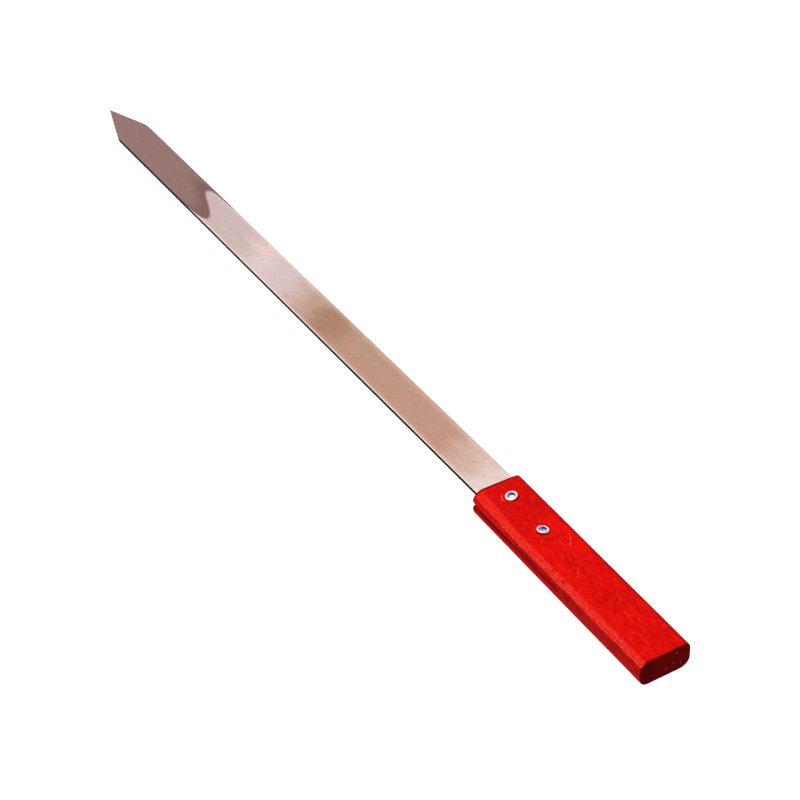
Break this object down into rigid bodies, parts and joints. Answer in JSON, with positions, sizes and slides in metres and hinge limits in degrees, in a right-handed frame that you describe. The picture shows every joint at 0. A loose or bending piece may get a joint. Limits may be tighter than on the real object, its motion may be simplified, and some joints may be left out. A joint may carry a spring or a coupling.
{
  "type": "hive tool",
  "caption": "Long flat pointed blade riveted into the saw cut of a red wooden handle, for prying, lifting and scraping in a beehive.",
  "frame": {"origin": "under the middle of the tool's box, on the surface it lies on", "axes": "+X from the blade's tip to the butt of the handle, +Y across the blade, +Z out of the side where the rivets are rolled over"},
  "size_m": [0.5148, 0.0266, 0.0158],
  "materials": {
    "blade_steel": "cold rolled stainless strip, bright with soft cloudy reflections",
    "red_wood": "hardwood stained bright red, thin worn varnish",
    "rivet_metal": "bright nickel plated steel"
  },
  "bodies": {
    "root": {"blade": "blade_steel", "handle": "red_wood", "front_rivet": "rivet_metal", "rear_rivet": "rivet_metal"}
  },
  "joints": []
}
